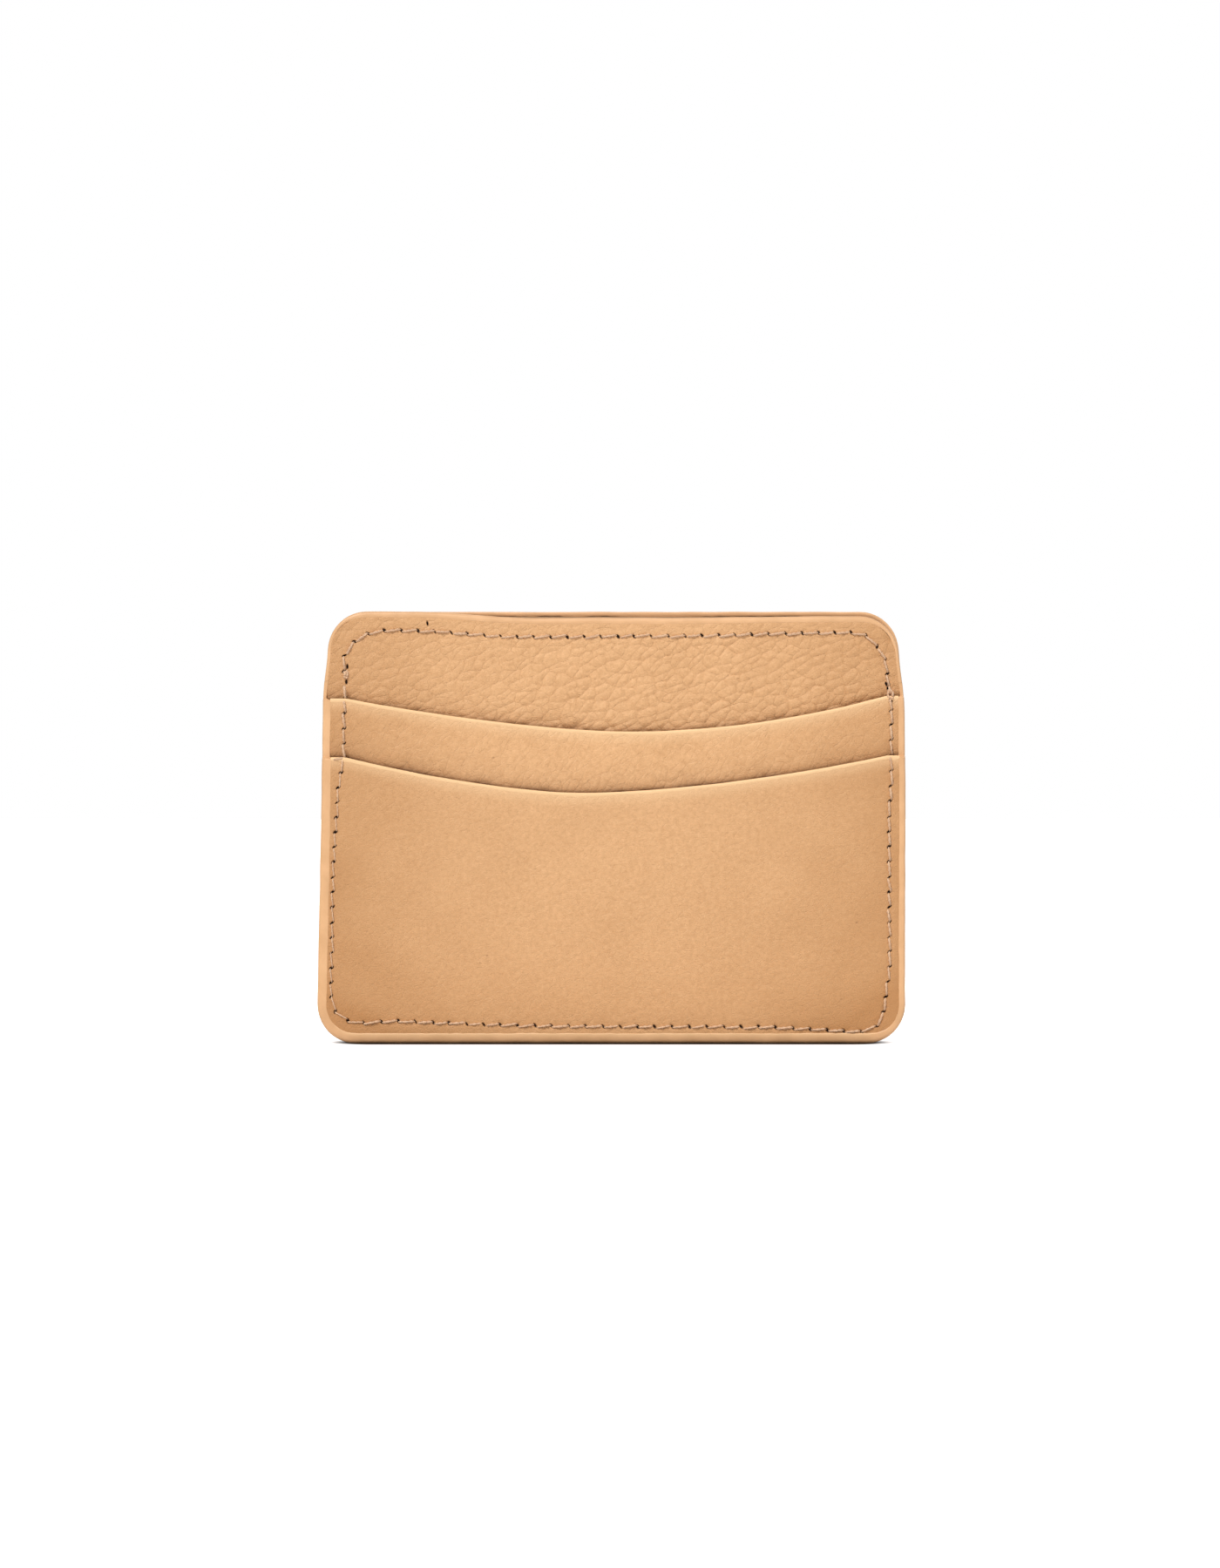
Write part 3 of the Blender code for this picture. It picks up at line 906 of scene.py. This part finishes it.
def coatSection(outer, inner, looks, lip, film=edges["film"]):
    # a ring of (depth, y) round the coat: the outer lip, the edge, the inner lip, and back along its wall
    turn = np.radians(np.linspace(90, 0, 16))
    square, flat = looks["squareness"], 0 * outer
    outerDepth, outerRound = looks["outerDepth"], looks["outerRound"]
    innerDepth, innerRound = looks["innerDepth"], looks["innerRound"]
    ring = [(outerDepth + lip, outer - 0.2), (outerDepth + lip, outer - 0.1),
            (outerDepth + 0.5 * lip, outer - 0.02)]
    for angle in turn:
        depth = outerDepth * (1 - abs(math.cos(angle)) ** square)
        ring.append((depth, outer - outerRound + (outerRound + film) * math.sin(angle) ** square))
    for share in np.linspace(0, 1, looks["steps"] + 2)[1:-1]:
        ring.append((flat, (outer - outerRound) * (1 - share) + (inner + innerRound) * share))
    for angle in turn[::-1]:
        depth = innerDepth * (1 - abs(math.cos(angle)) ** square)
        ring.append((depth, inner + innerRound - (innerRound + film) * math.sin(angle) ** square))
    innerLip = lip * looks["innerLip"]
    ring += [(innerDepth + 0.6 * innerLip, inner - 0.5 * film), (innerDepth + innerLip, inner + 0.07),
             (innerDepth + innerLip, inner + 0.16)]
    ring += [(looks["wall"] + flat, inner + 0.2), (looks["wall"] + flat, outer - 0.2)]
    return np.stack([np.stack(np.broadcast_arrays(*pair), axis=-1) for pair in ring], axis=1)


def sweptCoat(name, path, sections, joints, material, paintedHighlight=0.0):
    # the section carried along the path, its depth measured square to it
    tangent = np.gradient(path, axis=0)
    tangent /= np.linalg.norm(tangent, axis=1, keepdims=True)
    outward = np.stack([tangent[:, 1], -tangent[:, 0]], axis=1)
    depth, y = sections[..., 0].copy(), sections[..., 1]
    shown = np.exp(-((depth / 0.4) ** 4))
    groovesAndPaintedShade = np.zeros(depth.shape)
    for joint, strength in joints:
        groovesAndPaintedShade = np.maximum(groovesAndPaintedShade, strength * np.exp(-(((y - joint) / 0.085) ** 2)))
    groovesAndPaintedShade *= shown * (0.6 + 0.4 * softNoise(path[:, 0], path[:, 1], 6, 77))[:, None]
    depth += edges["grooveDepth"] * groovesAndPaintedShade
    depth += edges["waviness"] * softNoise(path[:, 0], path[:, 1], 7, 78)[:, None] * np.exp(-depth)
    x = path[:, None, 0] - outward[:, None, 0] * depth
    z = path[:, None, 1] - outward[:, None, 1] * depth
    points = place(np.stack([x, y, z], axis=-1).reshape(-1, 3))
    index = np.arange(depth.size).reshape(depth.shape)
    onward = np.roll(index, -1, axis=1)
    quads = np.stack([index[:-1], onward[:-1], onward[1:], index[1:]], axis=-1).reshape(-1, 4).tolist()
    piece = newPiece(name, points.tolist(), quads + [index[0, ::-1].tolist(), index[-1].tolist()], material)
    # painted shade on the inner lip, inside the pocket's mouth
    inside = 0.2 * smooth(0.3, 0.42, depth) * smooth(0.62, 0.5, np.abs(y)) * smooth(62, 66, path[:, None, 1])
    patchy = (1 + 0.3 * softNoise(path[:, 0], path[:, 1], 5, 79))[:, None]
    # painted shade, a little darker towards the foot
    wearAndPaintedShade = 0.15 * smooth(10, 4, path[:, None, 1]) * patchy
    setAttribute(piece, "groovesAndPaintedShade", np.clip(np.maximum(np.maximum(groovesAndPaintedShade, inside), wearAndPaintedShade), 0, 1).ravel())
    # painted highlight along the ridge of the foot
    foot = 0.4 * smooth(1.45, 1.63, sections[..., 0]) * smooth(2.4, 1.6, path[:, None, 1])
    setAttribute(piece, "paintedHighlight", np.maximum(foot, paintedHighlight).ravel())
    faceOutwards(piece)
    shade(piece)
    return piece


def unevenLip(path, mean, seed):
    fine = softNoise(path[:, 0], path[:, 1], 2.5, seed)
    broad = softNoise(path[:, 0], path[:, 1], 9, seed)
    return mean * (1 + 0.12 * fine + 0.2 * broad)


def sideRun(side, ends):
    # heights up one side, closer together at the steps between layers
    heights = [np.arange(holder["cornerRadius"], ends, 0.5)[1:]]
    for slot in ("upper_slot", "lower_slot"):
        step = mouthHeight(side * halfWidth, slot)
        heights.append(np.arange(step - 0.7, step + 0.5, 0.08))
    return np.unique(np.round(np.concatenate([*heights, [ends]]), 3))


def joinedPath():
    left, right = sideRun(-1, holder["pocketEnd"]), sideRun(1, holder["pocketEnd"])
    left = np.stack([np.full(len(left), -halfWidth), left], axis=1)[::-1]
    right = np.stack([np.full(len(right), halfWidth), right], axis=1)
    return np.concatenate([left, resample(bottomRun(0), 0.45), right])


def edgeDepth(path, layer):
    # the painted strip's width, from the left side over the level edge to the right side
    looks = edges[layer]
    level = smooth(halfWidth - 0.5, halfWidth - holder["cornerRadius"], np.abs(path[:, 0]))
    return looks["level"] * level + np.where(path[:, 0] < 0, looks["left"], looks["right"]) * (1 - level)


def layerEdge(path, layer):
    # where the painted edge stands when this layer is the outermost
    return {"outer": layers[layer][1], "outerRound": edges[layer]["rounding"],
            "outerDepth": edgeDepth(path, layer)}


def between(inner, outer):
    # the middle of the gap between two layers
    return round((layers[inner][1] + layers[outer][0]) / 2, 3)


paint = edgePaintMaterial()
liningJoint, slotJoint = between("lining", "panel"), between("panel", "upper_slot")
path = joinedPath()
values = layerEdge(path, "lower_slot")
for layer, below in (("upper_slot", "lower_slot"), ("panel", "upper_slot")):
    here = layerEdge(path, layer)
    starts = mouthHeight(path[:, 0], below)
    above = smooth(starts - 0.35, starts + 0.05, path[:, 1])
    values = {key: values[key] * (1 - above) + here[key] * above for key in here}
section = {**values, "innerRound": values["outerRound"], "innerDepth": values["outerDepth"], "innerLip": 1.0,
           "wall": edges["wall"], "steps": 44, "squareness": 0.5}
film = edges["film"] + edges["ridge"] * smooth(2.4, 1.0, path[:, 1])
rings = coatSection(values["outer"], -values["outer"], section, unevenLip(path, edges["lip"], 61), film)
joints = [(0.0, edges["middleGroove"] / edges["grooveDepth"])]
joints += [(sign * y, 1.0) for y in (slotJoint, liningJoint) for sign in (-1, 1)]
piece = sweptCoat("side_and_bottom_edge_paint", path, rings, joints, paint)
standFor(piece, "side_and_bottom_edge_coat")

up = np.arange(holder["pocketEnd"] + 0.05, holder["height"] - holder["cornerRadius"], 0.5)
right = np.stack([np.full(len(up), halfWidth), up], axis=1)
left = right[::-1] * (-1, 1)
path = np.concatenate([right, resample(topRun(0), 0.45), left])
panelEdge = {**layerEdge(path, "panel"), "innerRound": 0.3, "innerDepth": 0.4, "innerLip": 1.6,
             "wall": edges["wall"], "steps": 8, "squareness": 0.8}
for side, sign in sides.items():
    outer = np.full(len(path), layers["panel"][1])
    inner = np.full(len(path), layers["lining"][0])
    rings = coatSection(outer, inner, panelEdge, unevenLip(path, edges["lip"], 62))
    rings[..., 1] *= sign
    piece = sweptCoat(side + "_top_edge_paint", path, rings, [(sign * liningJoint, 1.0)], paint)
    standFor(piece, side + "_top_edge_coat")

mouthEdge = {"outerRound": 0.32, "outerDepth": 0.3, "innerRound": 0.32, "innerDepth": 0.26, "innerLip": 0.5,
             "wall": edges["mouthWall"] - 0.08, "steps": 3, "squareness": 1.0}
for layer in ("upper_slot", "lower_slot"):
    left, right = (halfWidth - edges[layer][side] - 0.1 for side in ("left", "right"))
    x = np.unique(np.concatenate([np.linspace(-left, right, 260), [mouths["left"], mouths["right"]]]))[::-1]
    path = np.stack([x, mouthHeight(x, layer)], axis=1)
    for side, sign in sides.items():
        outer = np.full(len(path), layers[layer][1])
        rings = coatSection(outer, np.full(len(path), layers[layer][0]), mouthEdge,
                            unevenLip(path, edges["mouthLip"], 63 + len(layer)))
        rings[..., 1] *= sign
        # the mouth strips carry a painted highlight of 0.73
        piece = sweptCoat(f"{side}_{layer}_mouth_paint", path, rings, [], paint, 0.73)
        standFor(piece, f"{side}_{layer}_mouth_coat")
print("card holder: edges painted")


def outermost(x, z):
    # the outer face that shows at this place
    for layer in ("lower_slot", "upper_slot"):
        if z < mouthHeight(x, layer) - 0.05:
            return layers[layer][1]
    return layers["panel"][1]


crossStitch = np.array([(-48.2, 48.6), (-46.1, 48.7)])  # laid across the end of the lower mouth
knots = {  # each seam's threads are tied off in a small loop
    "left": {"x": -46.3, "z": 63.1, "width": 0.8, "height": 1.2},
    "right": {"x": 47.7, "z": 59.9, "width": 1.1, "height": 1.7},
}


def loopEnds(knot):
    turns = np.radians(np.arange(0, 361, 60) + 20)
    x = knot["x"] + 0.5 * knot["width"] * np.cos(turns)
    return np.stack([x, knot["z"] + 0.5 * knot["height"] * np.sin(turns)], axis=1)


def seamPoints(ends, sign, inside, seed, share=1.0, slanted=1.0):
    # a centre, a turn and a stretch for each stitch between two needle slits
    rng = np.random.default_rng(seed)
    centres, turns, sizes = [], [], []
    outward = Vector((0, sign if not inside else -sign, 0))
    for a, b in zip(ends[:-1], ends[1:]):
        level = layers["lining"][0] if inside else stitch["lift"] + max(outermost(*a), outermost(*b))
        spots = place([(a[0], sign * level, a[1]), (b[0], sign * level, b[1])])
        run = Vector(spots[1] - spots[0])
        slant = slanted * (stitch["slant"] + rng.normal(0, math.radians(2.5)))
        run.rotate(Matrix.Rotation(-slant, 3, "Y"))
        middle = Vector(spots.mean(axis=0)) + Vector(rng.normal(0, stitch["wander"], 3) * (mm, 0, mm))
        axisX = run.normalized()
        axisY = outward.cross(axisX).normalized()
        axisZ = axisX.cross(axisY)
        turns.append(Matrix((axisX, axisY, axisZ)).transposed().to_euler())
        centres.append(middle)
        stretch = share * run.length / (seams["pitchAcross"] * mm) * rng.uniform(0.9, 1.08)
        thin = 1 - stitch["leftThinning"] * smooth(-43, -45, a[0]) * smooth(52, 46, a[1])
        sizes.append((stretch, thin * rng.uniform(0.88, 1.1), thin))
    return centres, turns, sizes


def threadRow(node, points, looks, tree, material):
    centres, turns, sizes = points
    piece = newPiece(node + "_stitches", [tuple(centre) for centre in centres], [], material)
    for key, vectors in (("turn", turns), ("size", sizes)):
        layer = piece.data.attributes.new(key, "FLOAT_VECTOR", "POINT")
        layer.data.foreach_set("vector", np.array([tuple(v) for v in vectors], np.float32).ravel())
    lengths = {name: looks[name.lower()] * mm for name in ("Thickness", "Rise", "Dive")}
    length = looks["length"] * seams["pitchAcross"] * mm
    runTree(piece, tree, {**lengths, "Length": length, "Twists": looks["twists"], "Material": material})
    standFor(piece, node)


thread = threadMaterial()
row = stitchTree()
for side, sign in sides.items():
    name = f"{side}_top_seam_outer_thread"
    threadRow(name, seamPoints(topEnds, sign, False, stitch["seed"]), stitch, row, thread)
    name = f"{side}_top_seam_inner_thread"
    inner = {**stitch, "thickness": 0.3}
    threadRow(name, seamPoints(topEnds, sign, True, stitch["seed"] + 1), inner, row, thread)
    name = f"side_seam_{side}_thread"
    rows = [seamPoints(sideEnds, sign, False, stitch["seed"] + 2)]
    rows += [seamPoints(crossStitch, sign, False, stitch["seed"] + 4)]
    rows += [seamPoints(loopEnds(knot), sign, False, stitch["seed"] + 3, 1.5, 0.0)
             for knot in knots.values()]
    points = [sum(parts, []) for parts in zip(*rows)]
    threadRow(name, points, stitch, row, thread)
print("card holder: seams stitched")


def showOnlyToCamera(tree, add, usual, seen, output):
    # the camera sees one shader and the light meets the other
    camera = add("ShaderNodeLightPath").outputs["Is Camera Ray"]
    which = add("ShaderNodeMixShader", {0: camera, 1: usual, 2: seen})
    tree.links.new(which.outputs[0], tree.nodes[output].inputs["Surface"])


contact = {"halfLength": 41.0, "dark": 4.4, "clear": 8.0}  # where the foot shades the floor
floorMaterial, feed, add = newMaterial("paleFloor", 0.7)
parts = add("ShaderNodeSeparateXYZ", {0: add("ShaderNodeTexCoord").outputs["Object"]})
beyond = reckoned(add, "SUBTRACT", reckoned(add, "ABSOLUTE", parts.outputs[0]), contact["halfLength"] * mm)
spot = vector(add, reckoned(add, "MAXIMUM", beyond), parts.outputs[1])
away = add("ShaderNodeVectorMath", {0: spot}, operation="LENGTH").outputs["Value"]
clear = ranged(add, away, contact["dark"] * mm, contact["clear"] * mm, 0.0, 1.0)
feed("Base Color", mixed(add, clear, (0.02, 0.012, 0.008, 1), (0.93, 0.93, 0.93, 1)))
surface = floorMaterial.node_tree.nodes["Principled BSDF"].outputs[0]
glow = add("ShaderNodeEmission", {"Color": (1, 1, 1, 1), "Strength": scaled(add, clear, 0.8)})
lit = add("ShaderNodeAddShader", {0: surface, 1: glow.outputs[0]})
showOnlyToCamera(floorMaterial.node_tree, add, surface, lit.outputs[0], "Material Output")
floor = newPiece("floor", [(-4, -4, 0), (4, -4, 0), (4, 4, 0), (-4, 4, 0)], [(0, 1, 2, 3)], floorMaterial)
floor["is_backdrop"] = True

world = bpy.data.worlds.new("studio")
world.use_nodes = True
bpy.context.scene.world = world
add = nodeAdder(world.node_tree)
lit = world.node_tree.nodes["Background"]
lit.inputs["Color"].default_value = (1, 1, 1, 1)
lit.inputs["Strength"].default_value = 0.25
seen = add("ShaderNodeBackground", {"Color": (1, 1, 1, 1), "Strength": 1.0})
showOnlyToCamera(world.node_tree, add, lit.outputs[0], seen.outputs[0], "World Output")

suns = {  # azimuth from straight in front, to the right
    "key": {"strength": 2.45, "spread": 22, "azimuth": -26, "elevation": 47},
    "fill": {"strength": 0.5, "spread": 80, "azimuth": 55, "elevation": 25},
    "back": {"strength": 0.9, "spread": 70, "azimuth": 165, "elevation": 32},
}
for name, looks in suns.items():
    light = bpy.data.lights.new(name, "SUN")
    light.energy = looks["strength"]
    light.angle = math.radians(looks["spread"])
    lamp = bpy.data.objects.new(name, light)
    bpy.context.scene.collection.objects.link(lamp)
    across, up = math.radians(looks["azimuth"]), math.radians(looks["elevation"])
    towards = Vector((math.sin(across) * math.cos(up), -math.cos(across) * math.cos(up), math.sin(up)))
    lamp.rotation_euler = towards.to_track_quat("Z", "Y").to_euler()

view = {"lens": 85, "sensor": 36, "place": (-0.0002, -0.6362, 0.04439), "pitch": math.radians(90)}
lens = bpy.data.cameras.new("camera")
lens.lens = view["lens"]
lens.sensor_width = view["sensor"]
camera = bpy.data.objects.new("camera", lens)
camera.location = view["place"]
camera.rotation_euler = (view["pitch"], 0, 0)
bpy.context.scene.collection.objects.link(camera)
bpy.context.scene.camera = camera
bpy.context.scene.view_settings.view_transform = "Standard"

low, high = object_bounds()
print("card holder: finished", [round((b - a) / mm, 2) for a, b in zip(low, high)])
